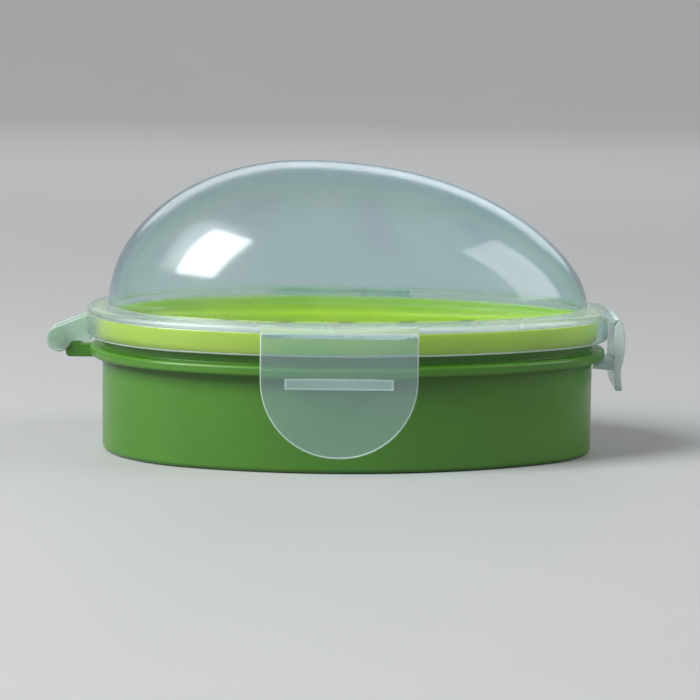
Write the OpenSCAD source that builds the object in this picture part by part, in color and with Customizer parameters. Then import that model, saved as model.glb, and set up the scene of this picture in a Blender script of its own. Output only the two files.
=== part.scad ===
// Food storage box with an egg-shaped plan: a tub, a drain tray that rests on its rim and
// a domed lid that is hinged at the blunt end and held down by three swing flaps.
// Millimetres. X runs along the length with the hinge at -X, the front is -Y and Z is up.
// The origin is on the resting face, below the middle of the lid.

/* [Outline] */
// Length of the lid over its skirt
lid_l = 150.6; // [146:0.2:156]
// Width of the lid over its skirt
lid_w = 100.6; // [96:0.2:106]

/* [Tub] */
// Height of the tub from the table to its rim
tub_h = 33.2; // [31:0.1:36]
// Distance of the tub wall inside the lid outline
tub_in = 4.4; // [4.2:0.1:5]
// Thickness of the tub wall
tub_wall = 1.8; // [1.4:0.1:2.2]
// Thickness of the tub floor
tub_floor = 2; // [1.5:0.1:3]
// Radius of the outer edge at the foot
foot_r = 1.5; // [0.8:0.1:2.5]
// Radius of the inner corner between floor and wall
floor_r = 4; // [2:0.5:8]
// Height of the recessed neck above the bead
neck_h = 3; // [2.5:0.1:3.6]
// Height of the bead
bead_h = 2.9; // [2.5:0.1:3.4]
// Distance of the bead inside the lid outline
bead_in = 0.8; // [0.5:0.1:1.2]
// Wall thickness of the bead, which is open below
bead_t = 1.5; // [1.2:0.1:1.8]
// Radius of the bead's outer edges
bead_r = 0.9; // [0.5:0.1:1.1]

/* [Tray] */
// Wall thickness of the tray
tray_t = 1.5; // [1.2:0.1:1.8]
// Distance of the collar inside the lid outline
collar_in = 3; // [2.6:0.1:3.2]
// Height of the collar above the tub's rim
collar_h = 6.2; // [5.8:0.1:7]
// Depth of the dish below the tub's rim
dish_d = 6.7; // [5:0.1:9]
// Free space between the dish and the tub wall
dish_fit = 0.4; // [0.3:0.1:0.8]
// Width of a drain slot
slot_w = 5; // [3:0.5:6]
// Distance between the drain slots
slot_pitch = 18; // [14:1:20]
// Number of drain slot pairs
slot_count = 5; // [3:2:5]
// Width of the closed strip along the middle of the floor
slot_mid = 14; // [8:1:24]
// Closed margin of the floor beyond the ends of the slots
slot_rim = 9; // [6:1:14]
// Height of the ribs that hold the food off the floor
rib_h = 1; // [0.6:0.1:1.5]
// Width of those ribs
rib_w = 1.6; // [1.2:0.1:2.4]

/* [Lid] */
// Free space between the tray's collar and the lid's flange
lid_fit = 0.3; // [0.2:0.05:0.5]
// Thickness of the flange
flange_t = 2; // [1.8:0.1:2.4]
// Height of the skirt with the flange
skirt_h = 8.5; // [8:0.1:8.8]
// Thickness of the skirt
skirt_t = 1.6; // [1.2:0.1:1.8]
// Radius of the shoulder between flange and skirt
shoulder_r = 1.5; // [0.8:0.1:1.6]
// Wall thickness of the dome
dome_t = 1.4; // [1.2:0.1:2]
// Width of the flange at the two ends
flange_end = 6.1; // [6.1:0.1:7]
// Width of the flange at the sides
flange_side = 8.4; // [7.5:0.1:10]
// Distance of the dome's peak from the middle, towards the hinge
peak = 12.7; // [8:0.1:16]
// How far the narrow end of the dome is drawn in
draw_in = 0.155; // [0:0.005:0.2]
// Length of the sealing lip below the flange
lip_h = 2.5; // [1.5:0.1:2.6]

/* [Flaps] */
// Free space between the skirt and a flap
flap_gap = 1.1; // [0.9:0.1:1.4]
// Thickness of a flap
flap_t = 2; // [1.6:0.1:2.4]
// How far a flap bows out between its hinge and its hook
flap_belly = 1.1; // [0.5:0.1:1.5]
// How far the free end flares out
flap_flare = 0.6; // [0:0.1:1.2]
// Depth of the flap hinges below the top of the flange
web_drop = 1.9; // [1.8:0.1:2.1]
// Thickness of the living hinges
web_t = 0.5; // [0.4:0.05:0.6]
// Free length of the living hinges
web_l = 1.2; // [1.1:0.05:1.4]
// Radius of the rounded root that leads from the flange down to a living hinge
hood_r = 5.6; // [4.5:0.1:7]
// Distance that the root ends short of the flap's inner face
ledge_back = 0.1; // [0.05:0.05:0.2]
// Width of the front and rear flaps
side_w = 43.4; // [38:0.2:48]
// Position of the front and rear flaps along the length
side_x = -2.1; // [-6:0.1:2]
// Height of the lowest point of the front and rear flaps
side_z = 5.6; // [4:0.1:9]
// Width of the hooks of the front and rear flaps
side_hook_w = 30; // [24:1:34]
// Width of the end flap
end_w = 26; // [20:0.5:30]
// Height of the lower edge of the end flap
end_z = 19.2; // [16:0.1:21]
// Corner radius of the end flap
end_r = 2; // [1:0.5:4]
// Width of the hook of the end flap
end_hook_w = 16; // [12:1:18]
// Drop of a hook's tip below the bead
hook_drop = 1.9; // [1.7:0.1:2.4]
// Free space between a hook's tip and the tub wall
hook_fit = 0.5; // [0.4:0.1:1]
// Slope of a hook's upper face in degrees
hook_slope = 25; // [20:1:27]

/* [Hinge] */
// Distance of the hinge axis outside the lid outline
pin_out = 7.9; // [7.4:0.1:8.4]
// Depth of the hinge axis below the tub's rim
pin_drop = 1.5; // [1.2:0.1:1.8]
// Radius of the stub pins
pin_r = 1.7; // [1.4:0.1:2]
// Radial clearance of the stub pins in the ears
pin_fit = 0.05; // [0.03:0.01:0.1]
// Length of each stub pin
pin_l = 1.6; // [1.2:0.1:1.8]
// Radius of the ears' round ends
ear_r = 3.7; // [3.4:0.1:4]
// Thickness of an ear
ear_t = 2.6; // [2.4:0.1:3.2]
// Distance between the ears
ear_gap = 6; // [5:0.5:9]
// Slope of the ears' upper edge in degrees
ear_slope = 21.8; // [18:0.2:24]
// Free space on each side of the bracket between the ears
ear_fit = 0.4; // [0.3:0.05:0.6]
// Radius of the bracket's round end
bracket_r = 3.2; // [2.8:0.1:3.3]
// Depth of the bracket's underside below the bead
bracket_drop = 1.1; // [0.5:0.1:2]

/* [Hidden] */
$fn = 120;
// Heights above the table
bead_z1 = tub_h - neck_h;
bead_z0 = bead_z1 - bead_h;
collar_z1 = tub_h + collar_h;
flange_z0 = collar_z1 + lid_fit;
flange_z1 = flange_z0 + flange_t;
skirt_z0 = flange_z1 - skirt_h;
lip_z0 = flange_z0 - lip_h;
web_z = flange_z1 - web_drop;
dish_z0 = tub_h - dish_d;
hook_z = bead_z0 - hook_drop;
pin_z = tub_h - pin_drop;

// The outline is an oval of four tangent arcs. A 5-12-13 triangle sets the blunt end and a
// 9-12-15 triangle the narrow end, so that all centres and radii are multiples of one step.
step = (lid_l - lid_w) / 10;
wide_x = -step;
blunt_c = [wide_x - 5 * step, 0];
blunt_r = lid_w / 2 - step;
narrow_c = [wide_x + 9 * step, 0];
narrow_r = lid_w / 2 - 3 * step;
side_c = 12 * step;
side_r = lid_w / 2 + side_c;
reach = lid_l / 10;
seam = 0.3;

// Insets from the outline
wall_in = tub_in + tub_wall;
dish_in = wall_in + dish_fit;

// Flap section, measured outwards from the skirt
web_u0 = flap_gap - ledge_back;
web_u1 = web_u0 + web_l;
web_u = (web_u0 + web_u1) / 2;
hook_tip = hook_fit - tub_in;
hook_tip_t = 0.4;
side_drop_z = side_z + side_w / 2;

// Hinge
pin_x = -lid_l / 2 - pin_out;
ear_y = ear_gap / 2;
bracket_y = ear_y - ear_fit;
ear_x = -lid_l / 2 + 0.85 * skirt_t;

// Dome
dome_r = lid_w / 2 - flange_side;
dome_a = lid_l / 2 - flange_end;
dome_steps = 48;

// Sector of the plan that belongs to the blunt end
module blunt_sector() {
    polygon([blunt_c, blunt_c + reach * [-5, 12], [-2 * lid_l, 12 * reach],
        [-2 * lid_l, -12 * reach], blunt_c + reach * [-5, -12]]);
}

// Sector of the plan that belongs to the narrow end
module narrow_sector() {
    polygon([narrow_c, narrow_c + reach * [9, -12], [2 * lid_l, -12 * reach],
        [2 * lid_l, 12 * reach], narrow_c + reach * [9, 12]]);
}

// Sector of the plan that belongs to one long side
module side_sector(s) {
    polygon([blunt_c, narrow_c, narrow_c + reach * [9, 12 * s], blunt_c + reach * [-5, 12 * s]]);
}

// Plan outline, moved inwards by d; a core overlaps the seams between the four sectors
module egg(d) {
    polygon([blunt_c + (blunt_r - d - seam) / 13 * [-5, -12],
        narrow_c + (narrow_r - d - seam) / 15 * [9, -12],
        narrow_c + (narrow_r - d - seam) / 15 * [9, 12],
        blunt_c + (blunt_r - d - seam) / 13 * [-5, 12]]);
    intersection() {
        translate(blunt_c) circle(blunt_r - d);
        blunt_sector();
    }
    intersection() {
        translate(narrow_c) circle(narrow_r - d);
        narrow_sector();
    }
    for (s = [-1, 1]) {
        intersection() {
            translate([wide_x, -s * side_c]) circle(side_r - d);
            side_sector(s);
        }
    }
}

// Flat plate with the plan outline moved inwards by d, between two heights
module plate(d, z0, z1) {
    translate([0, 0, z0]) linear_extrude(height = z1 - z0) egg(d);
}

// Limits a swept ring to one sector
module sector_prism() {
    translate([0, 0, -lid_l]) linear_extrude(height = 3 * lid_l) children();
}

// Sweeps a section round the outline. In the section, x is the distance outside it, y the height.
module sweep() {
    intersection() {
        translate([blunt_c.x, 0, 0]) rotate_extrude() translate([blunt_r, 0]) children();
        sector_prism() blunt_sector();
    }
    intersection() {
        translate([narrow_c.x, 0, 0]) rotate_extrude() translate([narrow_r, 0]) children();
        sector_prism() narrow_sector();
    }
    for (s = [-1, 1]) {
        intersection() {
            translate([wide_x, -s * side_c, 0]) rotate_extrude() translate([side_r, 0]) children();
            sector_prism() side_sector(s);
        }
    }
}

// Rectangle from corner to corner
module box2(x0, y0, x1, y1) {
    translate([x0, y0]) square([x1 - x0, y1 - y0]);
}

// Rectangle whose outer side, at x1, has rounded corners below (rb) and above (ra)
module edge2(x0, y0, x1, y1, rb, ra) {
    box2(x0, y0, x1 - max(rb, ra), y1);
    box2(x0, y0 + rb, x1, y1 - ra);
    if (rb > 0) {
        box2(x0, y0, x1 - rb, y1 - ra);
        translate([x1 - rb, y0 + rb]) circle(rb, $fn = 48);
    }
    if (ra > 0) {
        box2(x0, y0 + rb, x1 - ra, y1);
        translate([x1 - ra, y1 - ra]) circle(ra, $fn = 48);
    }
}

// Fillet of radius r in the corner between a wall at x and a floor at y
module corner2(x, y, r) {
    difference() {
        box2(x - r, y - r / 4, x + r / 8, y + r);
        translate([x - r, y + r]) circle(r, $fn = 60);
    }
}

// Half the width of the plan at x, moved inwards by d, between the ends' tangent points
function half_w(x, d) = x < blunt_c.x - 5 / 13 * blunt_r ?
    sqrt(max(0, pow(blunt_r - d, 2) - pow(x - blunt_c.x, 2))) :
    x > narrow_c.x + 3 / 5 * narrow_r ?
    sqrt(max(0, pow(narrow_r - d, 2) - pow(x - narrow_c.x, 2))) :
    sqrt(pow(side_r - d, 2) - pow(x - wide_x, 2)) - side_c;

// Half section of the dome from the narrow end to the blunt end, as [radius, x], moved in by t
function dome_line(t) = [for (i = [0:dome_steps])
    let (a = 180 * i / dome_steps, c = cos(a), long = c > 0 ? dome_a + peak : dome_a - peak)
    [(dome_r - t) * sin(a) * (c > 0 ? 1 - draw_in * pow(c, 4) : 1), -peak + c * (long - t)]];
function backwards(v) = [for (i = [len(v) - 1:-1:0]) v[i]];

// Foot of the dome in plan, moved in by t
module dome_foot(t) {
    line = dome_line(t);
    polygon(concat([for (p = line) [p[1], p[0]]],
        [for (i = [len(line) - 2:-1:1]) [line[i][1], -line[i][0]]]));
}

// Dome shell, a half turn of its section about X
module dome_shell() {
    translate([0, 0, flange_z1]) rotate([0, 90, 0]) rotate([0, 0, 90])
        rotate_extrude(angle = 180) polygon(concat(dome_line(0), backwards(dome_line(dome_t))));
}

// Outer face of a flap at height z, for a flap that ends at height low
function flap_out(z, low) = z >= hook_z ?
    flap_gap + flap_t + flap_belly * sin(180 * (web_z - z) / (web_z - hook_z)) :
    flap_gap + flap_t + flap_flare * pow((hook_z - z) / (hook_z - low), 2);
// Inner face of a flap at height z
function flap_in(z, low) = z >= hook_z ?
    flap_gap : flap_gap + flap_flare * pow((hook_z - z) / (hook_z - low), 2);

// Section of a flap that ends at height low: x is the distance outside the skirt, y the height
module flap_section(low) {
    top = web_z - 0.45 * flap_t;
    polygon(concat([[web_u1, web_z + web_t / 2]],
        [for (i = [0:12]) let (z = top + (hook_z - top) * i / 12) [flap_out(z, low), z]],
        [for (i = [1:8]) let (z = hook_z + (low - hook_z) * i / 8) [flap_out(z, low), z]],
        [for (i = [8:-1:0]) let (z = hook_z + (low - hook_z) * i / 8) [flap_in(z, low), z]],
        [[flap_gap, web_z - web_t / 2 - (web_u1 - flap_gap)], [web_u1, web_z - web_t / 2]]));
}

// Section of a flap's hook, long enough to end inside the flap
module hook_section() {
    far = flap_gap + 2 * flap_t;
    polygon([[hook_tip, hook_z], [hook_tip, hook_z - hook_tip_t],
        [flap_gap, hook_z - 2 * hook_tip_t], [far, hook_z - 2 * hook_tip_t],
        [far, hook_z + (far - hook_tip) * tan(hook_slope)]]);
}

// Hook of width w that follows the tub's wall, where the outline is an arc of radius r whose
// centre lies mid along the flap
module hook(w, r, mid) {
    deep = lid_w / 2;
    top = hook_z + (flap_gap - hook_tip) * tan(hook_slope);
    intersection() {
        translate([-r, mid, 0]) rotate_extrude() translate([r, 0]) hook_section();
        translate([-deep, -w / 2, 0]) cube([deep + flap_gap + flap_t / 2, w, top]);
    }
}

// Extrudes a section along the hinge line of a flap
module along(w) {
    rotate([90, 0, 0]) linear_extrude(height = w, center = true) children();
}

// Flap in its own frame, x outwards from the skirt; the child is its front view
module flap(low) {
    intersection() {
        along(lid_w) flap_section(low);
        rotate([90, 0, 90]) linear_extrude(height = lid_w) children();
    }
}

// Front view of the D-shaped flaps
module side_view() {
    translate([0, side_drop_z]) circle(side_w / 2);
    box2(-side_w / 2, side_drop_z, side_w / 2, flange_z1);
}

// Front view of the end flap
module end_view() {
    box2(-end_w / 2, end_z + end_r, end_w / 2, flange_z1);
    box2(-end_w / 2 + end_r, end_z, end_w / 2 - end_r, flange_z1);
    for (s = [-1, 1]) {
        translate([s * (end_w / 2 - end_r), end_z + end_r]) circle(end_r, $fn = 60);
    }
}

// Living hinge of a flap
module web(w) {
    along(w) box2(web_u0, web_z - web_t / 2, web_u1, web_z + web_t / 2);
}

// Puts a flap's own frame at the front and at the end of the lid
module at_front() {
    translate([side_x, -lid_w / 2, 0]) rotate([0, 0, -90]) children();
}
module at_end() {
    translate([lid_l / 2, 0, 0]) children();
}

// Root of a flap, from the flange to its living hinge, for a flap of width w that stands off
// the outline by sag at its corners
module root(w, sag) {
    low = web_z - 0.45 * flap_t;
    deep = sag + skirt_t + shoulder_r;
    drop = web_drop - web_t / 2;
    run = sqrt(drop * (2 * hood_r - drop));
    along(w) intersection() {
        box2(-deep, low, web_u0, flange_z1);
        union() {
            translate([web_u0 - run, flange_z1 - hood_r]) circle(hood_r);
            box2(-deep, low, web_u0 - run, flange_z1);
        }
    }
}

// Roots of the three flaps, outside the skirt's inner face and below the flange's top
function sagitta(r, half) = r - sqrt(r * r - half * half);
module roots() {
    side_sag = sagitta(side_r, side_w / 2 + abs(side_x - wide_x));
    difference() {
        union() {
            at_front() root(side_w, side_sag);
            mirror([0, 1, 0]) at_front() root(side_w, side_sag);
            at_end() root(end_w, sagitta(narrow_r, end_w / 2));
        }
        plate(skirt_t / 2, skirt_z0, flange_z0 + flange_t / 2);
    }
}

// Side view of a hinge ear: the round end and the arm that rises to the skirt
module ear_view() {
    s = sin(ear_slope);
    c = cos(ear_slope);
    top = [pin_x - ear_r * s, pin_z + ear_r * c];
    translate([pin_x, pin_z]) circle(ear_r, $fn = 72);
    polygon([top, [ear_x, top.y + (ear_x - top.x) * s / c], [ear_x, pin_z - ear_r / 7],
        [pin_x, pin_z - ear_r / 7]]);
}

// Side view of the bracket that carries the stub pins
module bracket_view() {
    wall = -lid_l / 2 + tub_in + tub_wall / 2;
    root = bead_z0 - bracket_drop;
    translate([pin_x, pin_z]) circle(bracket_r, $fn = 72);
    polygon([[wall, root], [pin_x + bracket_r / 2, root], [pin_x + bracket_r / 2, pin_z - bracket_r],
        [pin_x, pin_z], [pin_x + bracket_r / 2, pin_z + bracket_r / 3],
        [pin_x + 2 * bracket_r, bead_z1], [wall, bead_z1]]);
}

// Tub with foot ring, bead, neck and hinge bracket
module base_tub() {
    color([0.27, 0.47, 0.18]) {
        sweep() {
            edge2(-wall_in, 0, -tub_in, tub_h, foot_r, 0);
            corner2(-wall_in, tub_floor, floor_r);
            edge2(-bead_in - bead_t, bead_z0, -bead_in, bead_z1, bead_r, bead_r);
            box2(-tub_in - tub_wall / 2, bead_z1 - bead_t, -bead_in - bead_r, bead_z1);
        }
        plate(tub_in + tub_wall / 2, 0, tub_floor);
        rotate([90, 0, 0]) linear_extrude(height = 2 * bracket_y, center = true) bracket_view();
        translate([pin_x, 0, pin_z]) rotate([90, 0, 0])
            cylinder(r = pin_r, h = 2 * (ear_y + pin_l), center = true, $fn = 72);
    }
}

// Drain slot of length l between the centres of its round ends, seen from above
module slot_view(l) {
    circle(slot_w / 2, $fn = 36);
    translate([0, l]) circle(slot_w / 2, $fn = 36);
    translate([-slot_w / 2, 0]) square([slot_w, l]);
}

// Tray with its collar, its ledge on the tub's rim, the dish, drain slots and ribs
module drain_tray() {
    floor_z = dish_z0 + tray_t;
    slot_in = dish_in + tray_t + slot_rim;
    slot_y = slot_mid / 2 + slot_w / 2;
    color([0.62, 0.8, 0.2]) {
        difference() {
            union() {
                plate(collar_in, tub_h, collar_z1);
                plate(dish_in, dish_z0, tub_h + tray_t / 2);
            }
            plate(collar_in + tray_t, tub_h + tray_t, collar_z1 + tray_t);
            plate(dish_in + tray_t, floor_z, tub_h + 2 * tray_t);
            for (i = [0:slot_count - 1], s = [0, 1]) {
                x = (i - (slot_count - 1) / 2) * slot_pitch;
                l = max(slot_w, half_w(x, slot_in) - slot_y);
                mirror([0, s, 0]) translate([x, slot_y, dish_z0 - tray_t])
                    linear_extrude(height = 3 * tray_t) slot_view(l);
            }
        }
        for (i = [0:slot_count]) {
            x = (i - slot_count / 2) * slot_pitch;
            y = half_w(x, slot_in) + slot_w / 2;
            translate([x - rib_w / 2, -y, floor_z - tray_t / 2])
                cube([rib_w, 2 * y, rib_h + tray_t / 2]);
        }
    }
}

// Lid with dome, flange, skirt, sealing lip, flap roots and hinge ears
module dome_lid() {
    color([0.8, 0.9, 0.9, 0.5]) {
        difference() {
            union() {
                sweep() edge2(-skirt_t, skirt_z0, 0, flange_z1, 0, shoulder_r);
                translate([0, 0, flange_z0]) linear_extrude(height = flange_t) {
                    difference() {
                        egg(skirt_t);
                        dome_foot(dome_t);
                    }
                }
                translate([0, 0, lip_z0]) linear_extrude(height = flange_z1 - lip_z0) {
                    difference() {
                        dome_foot(0);
                        dome_foot(dome_t);
                    }
                }
                dome_shell();
                roots();
                for (s = [-1, 1]) {
                    translate([0, s * (ear_y + ear_t / 2), 0]) rotate([90, 0, 0])
                        linear_extrude(height = ear_t, center = true) ear_view();
                }
            }
            translate([pin_x, 0, pin_z]) rotate([90, 0, 0])
                cylinder(r = pin_r + pin_fit, h = 2 * (ear_y + pin_l + ear_fit), center = true, $fn = 72);
        }
    }
}

// Flaps and their living hinges
module front_flap() {
    color([0.75, 0.88, 0.87, 0.6]) at_front() {
        flap(side_z) side_view();
        hook(side_hook_w, side_r, wide_x - side_x);
    }
}
module rear_flap() {
    mirror([0, 1, 0]) front_flap();
}
module end_flap() {
    color([0.75, 0.88, 0.87, 0.6]) at_end() {
        flap(end_z) end_view();
        hook(end_hook_w, narrow_r, 0);
    }
}
module front_web() {
    color([0.8, 0.9, 0.9, 0.5]) at_front() web(side_w);
}
module rear_web() {
    color([0.8, 0.9, 0.9, 0.5]) mirror([0, 1, 0]) at_front() web(side_w);
}
module end_web() {
    color([0.8, 0.9, 0.9, 0.5]) at_end() web(end_w);
}

base_tub();
drain_tray();
dome_lid();
front_flap();
rear_flap();
end_flap();
front_web();
rear_web();
end_web();
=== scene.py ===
import math

import bmesh
import bpy
from mathutils import Matrix, Vector


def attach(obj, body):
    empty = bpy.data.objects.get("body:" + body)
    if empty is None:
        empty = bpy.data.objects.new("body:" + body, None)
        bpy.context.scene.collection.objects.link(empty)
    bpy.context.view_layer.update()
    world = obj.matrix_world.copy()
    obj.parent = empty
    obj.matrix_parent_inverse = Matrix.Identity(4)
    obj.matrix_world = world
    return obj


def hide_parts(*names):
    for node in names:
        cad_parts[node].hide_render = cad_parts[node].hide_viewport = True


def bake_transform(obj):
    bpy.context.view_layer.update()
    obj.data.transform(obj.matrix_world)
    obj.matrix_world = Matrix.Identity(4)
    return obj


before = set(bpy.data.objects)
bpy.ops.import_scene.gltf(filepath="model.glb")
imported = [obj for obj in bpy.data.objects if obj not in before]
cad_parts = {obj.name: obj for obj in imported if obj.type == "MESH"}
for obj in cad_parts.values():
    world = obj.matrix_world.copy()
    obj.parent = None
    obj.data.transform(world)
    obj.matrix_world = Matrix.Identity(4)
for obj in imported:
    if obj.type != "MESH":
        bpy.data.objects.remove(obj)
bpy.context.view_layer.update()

# All sizes are in millimetres, as in the CAD model, and become metres when a mesh is made
MM = 0.001
FULL = 2 * math.pi
QUARTER = math.pi / 2
ARC_STEP = math.radians(15)
RIM_TURNS = 0, 30, 60, 90
SHARP = math.radians(38)
WELD = 0.002

# Outline of the lid: four tangent arcs that share one step
LID_L = 150.6
LID_W = 100.6
STEP = (LID_L - LID_W) / 10
WIDE_X = -STEP
BLUNT_X = WIDE_X - 5 * STEP
BLUNT_R = LID_W / 2 - STEP
NARROW_X = WIDE_X + 9 * STEP
NARROW_R = LID_W / 2 - 3 * STEP
SIDE_Y = 12 * STEP
SIDE_R = LID_W / 2 + SIDE_Y
NARROW_COS = 9 / 15
BLUNT_COS = 5 / 13
NARROW_TURN = math.acos(NARROW_COS)
BLUNT_TURN = math.pi - math.acos(BLUNT_COS)
NARROW_POINTS, SIDE_POINTS, BLUNT_POINTS = 44, 72, 68

# Tub
TUB_H = 33.2
TUB_IN = 4.4
TUB_WALL = 1.8
TUB_FLOOR = 2
FOOT_R = 1.5
FLOOR_R = 4
NECK_H = 3
BEAD_H = 2.9
BEAD_Z1 = TUB_H - NECK_H
BEAD_Z0 = BEAD_Z1 - BEAD_H
BEAD_IN = 0.8
BEAD_T = 1.5
BEAD_R = 0.9
EDGE_R = 0.4

# Tray
TRAY_T = 1.5
COLLAR_IN = 3
COLLAR_H = 6.2
COLLAR_Z1 = TUB_H + COLLAR_H
COLLAR_R = 0.5
COLLAR_FOOT_R = 0.3
LEDGE_R = 0.6
DISH_FIT = 0.4
DISH_D = 6.7
DISH_IN = TUB_IN + TUB_WALL + DISH_FIT
DISH_Z0 = TUB_H - DISH_D
DISH_Z1 = DISH_Z0 + TRAY_T
DISH_TOP_R = 0.2
DISH_OUTER_R = 1.2
DISH_INNER_R = 1
DISH_RUN = 3
SLOT_W = 5
SLOT_PITCH = 18
SLOT_COUNT = 5
SLOT_Y = 9.5
SLOT_RIM = 9
SLOT_CHAMFER = 0.4
SLOT_PAST = 1
SLOT_STEPS = 12
RIB_W = 1.6
RIB_H = 1
RIB_END_R = 0.6
RIB_EDGE = 0.45

# Lid
LID_FIT = 0.3
FLANGE_T = 2
FLANGE_Z0 = COLLAR_Z1 + LID_FIT
FLANGE_Z1 = FLANGE_Z0 + FLANGE_T
FLANGE_SIDE = 8.4
FLANGE_END = 6.1
SKIRT_H = 8.5
SKIRT_Z0 = FLANGE_Z1 - SKIRT_H
SKIRT_T = 1.6
SKIRT_EDGE = 0.45
# Height of the skirt's lower outer band, a painted shadow: it lets little lamp light through, so the groove
# below it is darker
SKIRT_SHADOW_BAND = 3.3
SKIRT_TOP_R = 0.5
SKIRT_RUN = 1
SHOULDER_R = 1.5
SHOULDER_RUN = 0.5
LIP_H = 2.5
LIP_Z0 = FLANGE_Z0 - LIP_H
LIP_R = 0.35
LIP_STEPS = 3
DOME_T = 1.4
DOME_R = LID_W / 2 - FLANGE_SIDE
DOME_A = LID_L / 2 - FLANGE_END
DOME_STEPS = 44
DOME_FILLET = 0.5
DOME_FILLET_STEPS = 4
DOME_WALL_DROP = 1
PEAK = 12.7
DRAW_IN = 0.155
DRAW_POWER = 4
NUDGE = 0.001
HALVINGS = 40

# Flaps, measured outwards from the skirt
FLAP_GAP = 1.1
FLAP_T = 2
FLAP_BELLY = 1.1
FLAP_FLARE = 0.6
FLAP_KNEE = 0.45 * FLAP_T
FLAP_THIN = 0.02
FLAP_RIM = 0.32
FLAP_RIM_SHARE = 0.49
FLAP_RIM_TURNS = 0, 25, 50, 70, 90
FLAP_REACH = 0.44
FLAP_CORNER_ROOM = 0.5
FLAP_STEPS = 9
FLAP_SPREAD = 1.4
TIP_R = 0.6
TIP_INSET_R = 0.3
TIP_ZONE = 0.1
TOP_STEPS, SIDE_STEPS, CORNER_STEPS, BOTTOM_STEPS, TIP_STEPS = 16, 12, 14, 8, 3
SIDE_FLAP_W = 43.4
SIDE_FLAP_X = -2.1
SIDE_FLAP_Z = 5.6
SIDE_FLAP_R = SIDE_FLAP_W / 2 - 0.4
SIDE_HOOK_W = 30
END_FLAP_W = 26
END_FLAP_Z = 19.2
END_FLAP_R = 2
END_HOOK_W = 16

# Living hinges and their roots
WEB_DROP = 1.9
WEB_Z = FLANGE_Z1 - WEB_DROP
WEB_T = 0.5
WEB_L = 1.2
WEB_BACK = 0.1
WEB_U0 = FLAP_GAP - WEB_BACK
WEB_U1 = WEB_U0 + WEB_L
WEB_LAP = 0.1
WEB_SINK = 0.03
WEB_SIDE = 0.05
WEB_EDGE = 0.1
WEB_STEPS = 8
HOOD_R = 5.6
HOOD_STEPS = 8
ROOT_SINK = 0.02
ROOT_EDGE = 0.2

# Hooks
HOOK_DROP = 1.9
HOOK_FIT = 0.5
HOOK_Z = BEAD_Z0 - HOOK_DROP
HOOK_TIP = HOOK_FIT - TUB_IN
HOOK_TIP_T = 0.4
HOOK_HEEL = 0.8
HOOK_ROOT_Z = HOOK_Z - HOOK_HEEL
HOOK_SEAT = FLAP_GAP + 0.2 * FLAP_T
HOOK_SLOPE = math.tan(math.radians(25))
HOOK_DRAFT = 0.36
HOOK_EDGE = 0.15
HOOK_LINE = 0.45
HOOK_STEPS = 64

# Hinge
PIN_OUT = 7.9
PIN_DROP = 1.5
PIN_X = -LID_L / 2 - PIN_OUT
PIN_Z = TUB_H - PIN_DROP
PIN_R = 1.7
PIN_FIT = 0.05
PIN_END = 4.6
PIN_CHAMFER = 0.3
PIN_STEPS = 32
BORE_REST = 0.4
BORE_PAST = 0.5
BORE_STEPS = 48
EAR_R = 3.7
EAR_Y0 = 3
EAR_Y1 = 5.6
EAR_SLOPE = math.radians(21.8)
EAR_END = math.radians(345)
EAR_X = -LID_L / 2 + 0.85 * SKIRT_T
EAR_DROP = EAR_R / 7
EAR_NECK = 0.5
EAR_EDGE = 0.45
EAR_STEPS = 24
BRACKET_R = 3.2
BRACKET_Y = 2.6
BRACKET_START = math.radians(50)
BRACKET_TURN = math.radians(235)
BRACKET_DROP = 1.1
BRACKET_LEAN = 0.2
BRACKET_HEEL_R = 1.2
BRACKET_STEP = 0.3
BRACKET_NECK_R = 1.5
BRACKET_NAPE = 0.6, 1.6
BRACKET_EDGE = 0.4
BRACKET_STEPS = 20


# Plan outline and mesh helpers


def ring_angles():
    """Normal angles of the points round the outline, evenly spread over its four arcs."""
    arcs = [
        (-NARROW_TURN, NARROW_TURN, NARROW_POINTS),
        (NARROW_TURN, BLUNT_TURN, SIDE_POINTS),
        (BLUNT_TURN, FULL - BLUNT_TURN, BLUNT_POINTS),
        (FULL - BLUNT_TURN, FULL - NARROW_TURN, SIDE_POINTS),
    ]
    return [a + (b - a) * i / n for a, b, n in arcs for i in range(n)]


RING = ring_angles()


def egg(angle, out):
    """Point of the lid's outline whose normal has this angle, moved outwards."""
    c, s = math.cos(angle), math.sin(angle)
    x, y, r = WIDE_X, -math.copysign(SIDE_Y, s), SIDE_R
    if c >= math.cos(NARROW_TURN):
        x, y, r = NARROW_X, 0, NARROW_R
    if c <= math.cos(BLUNT_TURN):
        x, y, r = BLUNT_X, 0, BLUNT_R
    return x + (r + out) * c, y + (r + out) * s


def egg_row(out, z):
    """Row of points round the outline at one offset and height."""
    return [(*egg(angle, out), z) for angle in RING]


def half_width(x, inset):
    """Half the width of the outline at x, moved inwards."""
    if x < BLUNT_X - BLUNT_R * BLUNT_COS:
        return math.sqrt((BLUNT_R - inset) ** 2 - (x - BLUNT_X) ** 2)
    if x > NARROW_X + NARROW_R * NARROW_COS:
        return math.sqrt((NARROW_R - inset) ** 2 - (x - NARROW_X) ** 2)
    return math.sqrt((SIDE_R - inset) ** 2 - (x - WIDE_X) ** 2) - SIDE_Y


def arc(x, y, r, start, turn, steps):
    """Points on an arc, angles in radians."""
    angles = [start + turn * k / steps for k in range(steps + 1)]
    return [(x + r * math.cos(a), y + r * math.sin(a)) for a in angles]


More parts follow.
